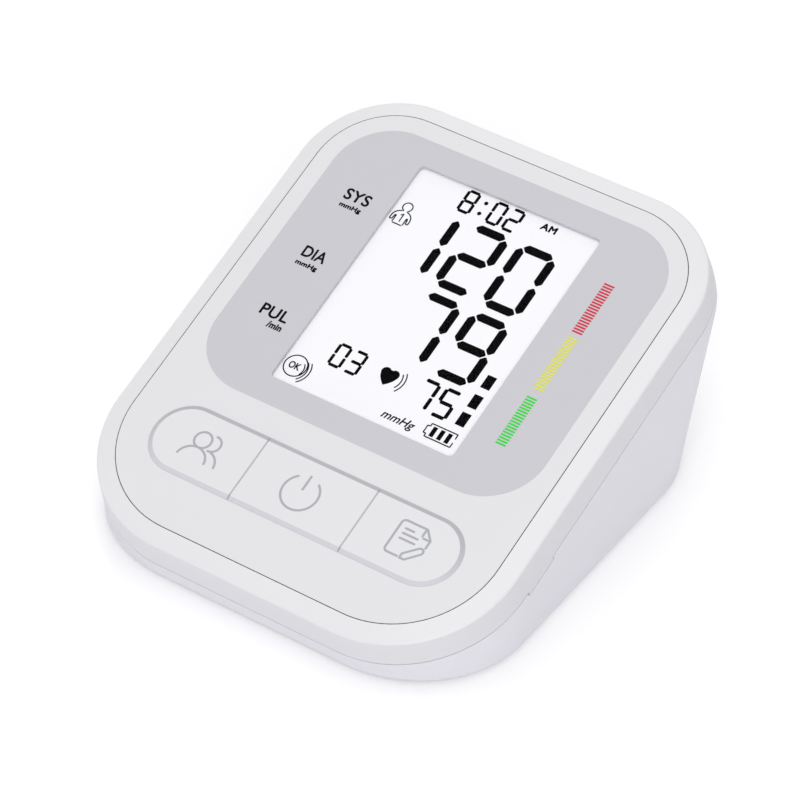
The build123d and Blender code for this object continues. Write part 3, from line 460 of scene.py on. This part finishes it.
def figure(bm, text, left, right, foot, head, width, chamfer):
    """One seven-segment figure that fills a box on the glass."""
    half = width / 2
    centre = (foot + head) / 2
    gap = 0.04 * (right - left)
    level = {"a": head - half, "g": centre, "d": foot + half}
    for name in FIGURES[text]:
        if name in level:
            inset = half + gap
            block(bm, left + inset, right - inset, level[name] - half, level[name] + half,
                  GLASS_TOP, SEGMENT, chamfer)
        else:
            x = left + half if name in "ef" else right - half
            low, high = (centre, head - half) if name in "bf" else (foot + half, centre)
            block(bm, x - half, x + half, low + gap, high - gap, GLASS_TOP, SEGMENT, chamfer)


BIG = 2.2                   # stroke of the pressure figures, mm
SMALL = 0.78                # stroke of the small figures
PULSE = 0.95
bm = bmesh.new()
for text, left, right in [("1", -18.2, -7.3), ("2", -5.0, 5.9), ("0", 8.2, 19.0)]:
    figure(bm, text, left, right, 22.2, 41.5, BIG, 0.92)
for text, left, right in [("7", -5.0, 5.9), ("9", 8.2, 19.0)]:
    figure(bm, text, left, right, 1.0, 20.3, BIG, 0.92)
piece("pressure_figures", bm, segment_black, "case", DISPLAY)

bm = bmesh.new()
for text, left, right in [("8", -10.9, -7.2), ("0", -3.0, 0.7), ("2", 1.5, 5.2)]:
    figure(bm, text, left, right, 42.5, 49.2, SMALL, 0.2)
for y in (44.1, 47.3):
    disc(bm, -5.1, y, 0.52, GLASS_TOP, SEGMENT)
words(bm, "AM", 10.1, 14.3, 46.6, 48.6, GLASS_TOP, weight=0.12, spread=1.1, thickness=SEGMENT)
piece("clock_figures", bm, segment_black, "case", DISPLAY)

bm = bmesh.new()
for text, left, right in [("0", -15.0, -11.3), ("3", -10.5, -6.8)]:
    figure(bm, text, left, right, -7.8, -1.1, SMALL, 0.2)
for text, left, right in [("7", 8.2, 12.9), ("5", 14.0, 18.6)]:
    figure(bm, text, left, right, -8.8, -0.5, PULSE, 0.25)
piece("pulse_figures", bm, segment_black, "case", DISPLAY)

bm = bmesh.new()
for foot, head in [(2.8, 6.5), (-3.0, 0.7), (-8.3, -4.6)]:
    block(bm, 20.9, 23.3, foot, head, GLASS_TOP, SEGMENT)
words(bm, "mmHg", 4.3, 13.1, -14.9, -12.05, GLASS_TOP, slant=0.25, weight=0.05, thickness=SEGMENT)
piece("range_marks", bm, segment_black, "case", DISPLAY)

# The cell gauge: an outline with a nub, and three bars.
THIN = 0.3
bm = bmesh.new()
GAUGE = [((16.3, -10.5), (23.3, -10.5)), ((16.3, -14.2), (23.3, -14.2)), ((23.3, -10.5), (23.3, -11.8)),
         ((23.3, -12.9), (23.3, -14.2)), ((16.3, -10.5), (16.3, -11.3)), ((16.3, -13.4), (16.3, -14.2)),
         ((15.6, -11.3), (16.3, -11.3)), ((15.6, -13.4), (16.3, -13.4)), ((15.6, -11.3), (15.6, -13.4))]
for start, end in GAUGE:
    bar(bm, start, end, THIN, GLASS_TOP, SEGMENT)
for left in (17.15, 19.2, 21.2):
    block(bm, left, left + 1.1, -13.7, -11.0, GLASS_TOP, SEGMENT)
piece("cell_gauge", bm, segment_black, "case", DISPLAY)

# The fitted-cuff mark: OK in a ring, with three waves beside it.
bm = bmesh.new()
arc(bm, -21.1, -11.4, 2.9, 0, 360, THIN, GLASS_TOP, SEGMENT)
words(bm, "OK", -22.8, -19.8, -12.4, -10.5, GLASS_TOP, weight=0.06, thickness=SEGMENT)
for radius, first, last in [(2.6, -28, 38), (3.5, -48, 42), (4.3, -50, 35)]:
    arc(bm, -21.3, -11.8, radius, first, last, THIN, GLASS_TOP, SEGMENT)
piece("cuff_mark", bm, segment_black, "case", DISPLAY)

# The heart with two waves.
HEART_X, HEART_LOBE, HEART_FOOT = 0.15, 1.25, -6.75
bm = bmesh.new()
for side in (-1, 1):
    disc(bm, HEART_X + side * 1.13, -3.3, HEART_LOBE, GLASS_TOP, SEGMENT)
outline = [(HEART_X - 2.25, -3.85), (HEART_X, -2.35), (HEART_X + 2.25, -3.85), (HEART_X + 1.75, -4.95),
           (HEART_X + 0.9, -5.95), (HEART_X, HEART_FOOT), (HEART_X - 0.9, -5.95), (HEART_X - 1.75, -4.95)]
heart = bm.faces.new([bm.verts.new((x, y, GLASS_TOP - SEGMENT)) for x, y in outline])
raised = bmesh.ops.extrude_face_region(bm, geom=[heart])["geom"]
bmesh.ops.translate(bm, vec=(0, 0, SEGMENT), verts=[v for v in raised if isinstance(v, bmesh.types.BMVert)])
arc(bm, 0.0, -4.2, 3.65, -32, 30, THIN, GLASS_TOP, SEGMENT)
arc(bm, 0.0, -4.2, 4.55, -38, 32, THIN, GLASS_TOP, SEGMENT)
piece("heart_mark", bm, segment_black, "case", DISPLAY)

# The first user's mark: a head and shoulders with a 1.
USER_X = -21.4
bm = bmesh.new()
arc(bm, -21.5, 38.2, 1.25, -48, 228, THIN, GLASS_TOP, SEGMENT)
for side in (-1, 1):
    x = USER_X
    arc(bm, x + side * 0.4, 34.7, 2.15, 90 - side * 90, 90 - side * 12, THIN, GLASS_TOP, SEGMENT)
    for start, end in [((2.55, 34.7), (2.55, 33.8)), ((1.75, 35.2), (1.95, 33.8)),
                       ((1.45, 35.2), (1.45, 33.2)), ((1.45, 35.2), (1.75, 35.2)),
                       ((1.95, 33.8), (2.55, 33.8)), ((0.45, 36.85), (0.84, 37.27)),
                       ((0.0, 33.0), (1.3, 33.0))]:
        bar(bm, (x + side * start[0], start[1]), (x + side * end[0], end[1]), THIN, GLASS_TOP, SEGMENT)
bar(bm, (-21.25, 33.8), (-21.25, 36.2), THIN, GLASS_TOP, SEGMENT)
bar(bm, (-21.25, 36.1), (-21.85, 35.6), THIN, GLASS_TOP, SEGMENT)
piece("user_mark", bm, segment_black, "case", DISPLAY)


# ---------------------------------------------------------------- the keys
# Three white ABS key caps that make one pill-shaped island. Each carries its
# sign in a grey pad-printed line: the users, the power sign and the notebook.

KEY_TOP = 0.42              # of a key above the face, mm
STROKE = 0.56
# painted shade on the keys' sloping edge: a lighter tone along the front, a darker one along the rear
EDGE_SHADE_FRONT = "d3d3d9"
EDGE_SHADE_REAR = "b2b2b8"
KEY_ROW_Y = -39.75          # middle of the row, up the face, mm
KEY_ROW_HALF = 8.6
KEY_END_X = 32.6
KEY_BASE_RADIUS = 9.17
KEY_CLEARANCE = 0.15
KEY_GAP = 0.4               # between two keys
KEY_SPLIT_X = 15.2
FILL_CLEARANCE = 0.02
GAP_FILL_DEPTH = 0.01           # of the painted-shade strip round the row below the face, mm

# The caps are satin white. Their sloping edge is coloured grey up to the flat top as painted shade, darker
# along the rear of the row than along its front, where the slope faces away from the light.
key_abs = moulded("satin_key_abs", "e6e6e9", 0.46, SHELL_GRAIN, 0.003)
tree = key_abs.node_tree
face_up = FACE.to_3x3() @ Vector((0, 1, 0)) / MM
row_middle = face_up.dot(FACE @ Vector((0, KEY_ROW_Y, 0)))
rear_shade_share = along(tree, face_up, row_middle - KEY_ROW_HALF * MM, row_middle + KEY_ROW_HALF * MM)
edge_shade_tone = add(tree, "MixRGB", Fac=rear_shade_share, Color1=linear(EDGE_SHADE_FRONT), Color2=linear(EDGE_SHADE_REAR))
flat_height = face_out.dot(FACE @ Vector((0, 0, KEY_TOP)))
overlay(key_abs, along(tree, face_out, flat_height - 0.03 * MM, flat_height - 0.01 * MM), (0, 0, 0, 1))
cap_surface = next(node for node in tree.nodes if node.type == "BSDF_PRINCIPLED")
edge_shade_mix = cap_surface.inputs["Base Color"].links[0].from_node
tree.links.new(edge_shade_tone.outputs["Color"], edge_shade_mix.inputs["Color1"])
finish(key_abs, "key_user", "key_power", "key_record")

# A grey strip stands in each gap between two keys as painted shade, giving the gap line its shaded tone.
bm = bmesh.new()
for side in (-1, 1):
    middle = side * KEY_SPLIT_X
    half = KEY_GAP / 2 - FILL_CLEARANCE
    for reach, height in [(8.0, KEY_TOP - 0.02), (8.6, 0.15), (9.3, -0.02)]:
        block(bm, middle - half, middle + half, KEY_ROW_Y - reach, KEY_ROW_Y + reach, height, STRIP_HEIGHT)
piece("key_gap_shade_strips", bm, moulded("grey_gap_shade", "b9b9bf", 0.6, 0.3, 0.002), "case")

# A paler grey strip fills the gap all round the row as painted shade, giving that gap line its shaded tone.
bm = bmesh.new()
gap_fill_radius = KEY_BASE_RADIUS + KEY_CLEARANCE / 2
gap_fill_width = KEY_CLEARANCE - FILL_CLEARANCE
for side in (-1, 1):
    first = side * 90 - 180
    arc(bm, side * KEY_END_X, KEY_ROW_Y, gap_fill_radius, first, first + 180, gap_fill_width, -GAP_FILL_DEPTH, STRIP_HEIGHT,
        round_ends=False)
    gap_fill_y = KEY_ROW_Y + side * gap_fill_radius
    bar(bm, (-KEY_END_X, gap_fill_y), (KEY_END_X, gap_fill_y), gap_fill_width, -GAP_FILL_DEPTH, STRIP_HEIGHT)
piece("key_row_gap_shade", bm, moulded("pale_gap_shade", "c9c9ce", 0.6, 0.3, 0.002), "case")


STROKE_STEP = 0.0005        # between two strokes of a sign, mm


def stagger(bm):
    """Sets each stroke a hair lower than the one before, so that no two faces lie in one plane."""
    waiting = set(bm.verts)
    drop = 0.0
    for vert in list(bm.verts):
        if vert not in waiting:
            continue
        stroke = [vert]
        waiting.discard(vert)
        for found in stroke:
            for edge in found.link_edges:
                other = edge.other_vert(found)
                if other in waiting:
                    waiting.discard(other)
                    stroke.append(other)
        bmesh.ops.translate(bm, vec=(0, 0, -drop), verts=stroke)
        drop += STROKE_STEP


grey_ink = ink("grey_pad_ink", "adadb4")
SIGN_TOP = KEY_TOP + INK

bm = bmesh.new()
arc(bm, -29.0, -38.3, 2.15, 0, 360, STROKE, SIGN_TOP)
arc(bm, -29.0, -44.2, 3.75, 8, 172, STROKE, SIGN_TOP)
arc(bm, -26.4, -38.2, 2.1, -90, 90, STROKE, SIGN_TOP)
arc(bm, -26.4, -44.0, 3.75, 6, 90, STROKE, SIGN_TOP)
stagger(bm)
piece("user_sign", bm, grey_ink, "user_key")

bm = bmesh.new()
arc(bm, -0.8, -40.0, 4.6, -232, 52, STROKE, SIGN_TOP)
bar(bm, (-0.8, -35.0), (-0.8, -39.2), STROKE, SIGN_TOP)
stagger(bm)
piece("power_sign", bm, grey_ink, "power_key")

PAGE_LEFT, PAGE_RIGHT, PAGE_FOOT, PAGE_HEAD, PAGE_ROUND = 24.3, 32.8, -43.9, -35.0, 1.0
bm = bmesh.new()
arc(bm, PAGE_LEFT + PAGE_ROUND, PAGE_HEAD - PAGE_ROUND, PAGE_ROUND, 90, 180, STROKE, SIGN_TOP)
arc(bm, PAGE_LEFT + PAGE_ROUND, PAGE_FOOT + PAGE_ROUND, PAGE_ROUND, 180, 270, STROKE, SIGN_TOP)
PAGE_LINES = [
    ((PAGE_LEFT, PAGE_HEAD - PAGE_ROUND), (PAGE_LEFT, PAGE_FOOT + PAGE_ROUND)),
    ((PAGE_LEFT + PAGE_ROUND, PAGE_HEAD), (30.7, PAGE_HEAD)),
    ((PAGE_LEFT + PAGE_ROUND, PAGE_FOOT), (28.0, PAGE_FOOT)),
    ((30.7, PAGE_HEAD), (PAGE_RIGHT, -37.3)), ((PAGE_RIGHT, -37.3), (PAGE_RIGHT, -39.4)),
    ((30.5, PAGE_HEAD), (30.5, -37.0)), ((31.0, -37.4), (PAGE_RIGHT, -37.4)),
    ((26.0, -36.9), (28.2, -36.9)), ((26.0, -38.2), (29.9, -38.2)), ((26.0, -39.6), (29.9, -39.6)),
    ((28.7, -44.0), (28.7, -42.8)), ((28.7, -44.0), (29.9, -44.0)),
    ((28.7, -42.8), (31.5, -40.1)), ((29.9, -44.0), (32.7, -41.2))]
for start, end in PAGE_LINES:
    bar(bm, start, end, STROKE, SIGN_TOP)
    for x, y in (start, end):
        disc(bm, x, y, STROKE / 2, SIGN_TOP, sides=12)
arc(bm, 32.1, -40.65, 0.8, -45, 135, STROKE, SIGN_TOP)
stagger(bm)
piece("record_sign", bm, grey_ink, "record_key")


# ---------------------------------------------------------------- inside the case
# The circuit board and what it carries, the pump with its motor, the valve, the
# air manifold and the hoses. They show only where the case is opened.

def metal(name, colour, roughness, grain):
    """Plated or drawn metal: a bright surface with a fine grain in its gloss."""
    material, tree, output = new_material(name)
    place = add(tree, "TexCoord").outputs["Object"]
    fine = add(tree, "TexNoise", Vector=place, Scale=1 / (grain * MM), Detail=4.0).outputs["Fac"]
    gloss = add(tree, "MapRange", Value=fine, To_Min=roughness * 0.75, To_Max=roughness * 1.3)
    base = linear(colour)
    dull = tuple(part * 0.9 for part in base[:3]) + (1.0,)
    tone = add(tree, "MixRGB", Fac=fine, Color1=dull, Color2=base)
    surface = add(tree, "BsdfPrincipled", Base_Color=tone.outputs["Color"],
                  Roughness=gloss.outputs["Result"], Metallic=1.0)
    tree.links.new(surface.outputs["BSDF"], output.inputs["Surface"])
    return material


finish(moulded("green_solder_resist", "1f6b3c", 0.35, 0.4, 0.004), "main_board", "usb_board")
finish(moulded("black_epoxy", "1b1b1d", 0.5, 0.2, 0.003), "controller_chip", "resistors")
finish(moulded("black_pbt", "232325", 0.45, 0.3, 0.003), "buzzer")
finish(metal("aluminium_can", "c9cbd0", 0.3, 0.4), "capacitors")
finish(moulded("grey_sensor_lcp", "4a4b50", 0.5, 0.3, 0.003), "pressure_sensor")
finish(moulded("milky_light_guide", "f2f4f6", 0.25, 0.3, 0.001), "lcd_light_guide")
finish(moulded("white_frame_abs", "eceded", 0.5, 0.4, 0.004), "lcd_frame", "pump_cradle")
finish(moulded("striped_elastomer", "8f8fa0", 0.7, 0.3, 0.004), "lcd_connector")
finish(metal("drawn_steel_can", "b9bcc2", 0.28, 0.5), "pump_motor", "release_valve")
finish(moulded("black_pump_nylon", "2a2b2e", 0.48, 0.4, 0.005), "pump_head")
finish(moulded("ivory_acetal", "e6e2d4", 0.4, 0.4, 0.003), "air_manifold")
finish(moulded("silicone_hose", "d9dcdc", 0.35, 0.5, 0.002), "socket_hose", "pump_hose", "sensor_hose")
finish(moulded("black_switch_pbt", "202022", 0.45, 0.2, 0.002), "switch_body_user", "switch_body_power",
       "switch_body_record")
finish(moulded("white_stem_acetal", "e9e9e6", 0.4, 0.2, 0.002), "switch_stem_user", "switch_stem_power",
       "switch_stem_record")
zinc = metal("zinc_plated_steel", "c3c6cb", 0.3, 0.3)
finish(zinc, "housing_screws", "board_screws")


# ---------------------------------------------------------------- battery bay
# Four AA cells side by side between nickel-plated contacts. Each has a steel
# can in a printed shrink sleeve with a copper-coloured end, and each negative
# end sits on a coil spring of plated wire.

nickel = metal("nickel_plate", "cfccc4", 0.24, 0.3)
finish(nickel, "battery_contacts")
CELLS = ["battery_cell_1", "battery_cell_2", "battery_cell_3", "battery_cell_4"]
CELL_RADIUS = 7.25
SLEEVE_INSET = 1.2          # of the sleeve's ends from the can's ends, mm
BUTTON = 1.3
CELL_WEIGHT, CELL_INK = 0.1, 0.06   # of the lettering on a cell, mm
SLEEVE_GOLD = 0.27          # share of the sleeve in the copper colour
SPRING_LENGTH = 5.6
SPRING_TURNS = 5
STEPS_PER_TURN = 20
SPRING_WIRE = 0.4
SPRING_WIDE = 3.8
SPRING_NARROW = 2.2

can_steel = metal("nickel_cell_can", "c8c9cc", 0.26, 0.4)
finish(can_steel, *CELLS)
sleeve_dark = moulded("graphite_sleeve", "26282c", 0.3, 0.5, 0.002)
sleeve_gold = metal("copper_sleeve", "c98a4b", 0.34, 0.5)
white_ink = ink("white_sleeve_ink", "e8e8e8")


def tube(bm, left, right, y, z, radius):
    """An open sleeve round a cell, made by spinning one line about the cell's axis."""
    ends = [bm.verts.new((x, y, z + radius)) for x in (left, right)]
    edge = bm.edges.new(ends)
    bmesh.ops.spin(bm, geom=[edge, *ends], cent=(0, y, z), axis=(1, 0, 0), angle=2 * pi, steps=64,
                   use_merge=True, use_duplicate=False)


PLAIN = Matrix.Scale(MM, 4)
for index, name in enumerate(CELLS):
    low, high = (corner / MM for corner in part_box(name))
    y, z = (low.y + high.y) / 2, (low.z + high.z) / 2
    way = 1 if index % 2 else -1        # the button points to +x on every other cell
    button_end = high.x if way > 0 else low.x
    flat_end = low.x if way > 0 else high.x
    shoulder = button_end - way * (BUTTON + SLEEVE_INSET)
    foot = flat_end + way * SLEEVE_INSET
    change = shoulder + (foot - shoulder) * SLEEVE_GOLD
    bands = [("gold", shoulder, change, sleeve_gold), ("dark", change, foot, sleeve_dark)]
    for part, start, end, material in bands:
        bm = bmesh.new()
        tube(bm, start, end, y, z, CELL_RADIUS + 0.05)
        made = piece(f"cell_sleeve_{part}_{index + 1}", bm, material, "case", PLAIN)
        for polygon in made.data.polygons:
            polygon.use_smooth = True
    bm = bmesh.new()
    middle = (change + foot) / 2
    words(bm, "AA 1.5 V", -9, 9, -2, 2, 0, weight=CELL_WEIGHT, thickness=CELL_INK)
    words(bm, "+", 13, 16, -1.5, 1.5, 0, weight=CELL_WEIGHT, thickness=CELL_INK)
    turn = Matrix.Rotation(pi, 4, "X") @ Matrix.Rotation(0 if way > 0 else pi, 4, "Z")
    place = PLAIN @ Matrix.Translation((middle, y, z - CELL_RADIUS - 0.1)) @ turn
    piece(f"cell_words_{index + 1}", bm, white_ink, "case", place)

    # The spring: a ring of wire carried round and along in one tapering coil.
    bm = bmesh.new()
    wire = Matrix.Translation((SPRING_WIDE, 0, 0)) @ Matrix.Rotation(pi / 2, 4, "X")
    ring = bmesh.ops.create_circle(bm, segments=8, radius=SPRING_WIRE, matrix=wire)
    edges = list({edge for vert in ring["verts"] for edge in vert.link_edges})
    steps = SPRING_TURNS * STEPS_PER_TURN
    bmesh.ops.spin(bm, geom=[*ring["verts"], *edges], cent=(0, 0, 0), axis=(0, 0, 1),
                   angle=2 * pi * SPRING_TURNS, dvec=(0, 0, SPRING_LENGTH / steps), steps=steps,
                   use_duplicate=False)
    for vert in bm.verts:
        share = vert.co.z / SPRING_LENGTH
        spread = (SPRING_WIDE + (SPRING_NARROW - SPRING_WIDE) * share) / SPRING_WIDE
        vert.co.xy = vert.co.xy * spread
    bmesh.ops.holes_fill(bm, edges=[e for e in bm.edges if e.is_boundary])
    lean = Matrix.Rotation(way * pi / 2, 4, "Y")
    place = PLAIN @ Matrix.Translation((flat_end - way * SPRING_LENGTH, y, z)) @ lean
    spring = piece(f"contact_spring_{index + 1}", bm, nickel, "case", place)
    for polygon in spring.data.polygons:
        polygon.use_smooth = True
    if index == 0:
        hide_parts("battery_springs")


# ---------------------------------------------------------------- battery door
# A flap of the lower shell's ABS on two pins, with a catch at its rear edge. Its
# outside has a moulded arrow and the cell size in raised letters.

finish(lower_abs, "battery_door")
door_low, door_high = (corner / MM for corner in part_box("battery_door"))
door_x = (door_low.x + door_high.x) / 2
DOOR_OUTSIDE = door_low.z
DOOR_LETTER = 0.25          # raised letters, mm
UNDER = PLAIN @ Matrix.Translation((door_x, 0, DOOR_OUTSIDE)) @ Matrix.Rotation(pi, 4, "X")
bm = bmesh.new()
words(bm, "4 x AA 1.5 V", -14, 14, -15, -11, DOOR_LETTER, thickness=DOOR_LETTER)
bmesh.ops.create_cone(bm, cap_ends=True, segments=3, radius1=3.5, radius2=3.5, depth=DOOR_LETTER,
                      matrix=Matrix.Translation((0, -35.5, DOOR_LETTER / 2)))
for count in range(5):
    y = -45.5 + count * 1.2
    block(bm, -8, 8, y, y + 0.5, DOOR_LETTER, DOOR_LETTER)
piece("door_letters", bm, lower_abs, "battery_door", UNDER)


# ---------------------------------------------------------------- sockets, feet and rating label
# The grey air socket that the cuff's plug goes into, the steel power socket at
# the rear, four rubber feet, and a plain silver label under the case.

finish(moulded("grey_socket_abs", "9a9aa2", 0.42, 0.3, 0.003), "air_socket")
finish(metal("stamped_steel", "b7babf", 0.28, 0.3), "usb_socket")
finish(moulded("grey_foot_rubber", "8b8b90", 0.85, 0.4, 0.01, specular=0.25), "rubber_feet")

LABEL_FILM = 0.06           # mm
LABEL_INK_TOP = 0.09
label_low, label_high = (-22.0, -50.0), (22.0, -20.0)
lower_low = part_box("lower_housing")[0] / MM
LABEL = PLAIN @ Matrix.Translation((0, 0, lower_low.z)) @ Matrix.Rotation(pi, 4, "X")
bm = bmesh.new()
block(bm, label_low[0], label_high[0], -label_high[1], -label_low[1], LABEL_FILM, LABEL_FILM, 2.0, 4)
piece("rating_label", bm, ink("silver_label_film", "dfe0e3", 0.4), "case", LABEL)
bm = bmesh.new()
words(bm, "BLOOD PRESSURE MONITOR", -19, 19, 43.5, 46.3, LABEL_INK_TOP)
words(bm, "UPPER ARM TYPE", -19, 2, 39.5, 41.7, LABEL_INK_TOP)
words(bm, "DC 6 V   4 x AA 1.5 V", -19, 8, 35.5, 37.7, LABEL_INK_TOP)
words(bm, "USB 5 V", -19, -8, 31.5, 33.7, LABEL_INK_TOP)
for count in range(3):
    block(bm, -19, 19 - count * 6, 23.4 + count * 2.4, 23.6 + count * 2.4, LABEL_INK_TOP)
piece("rating_words", bm, black_ink, "case", LABEL)
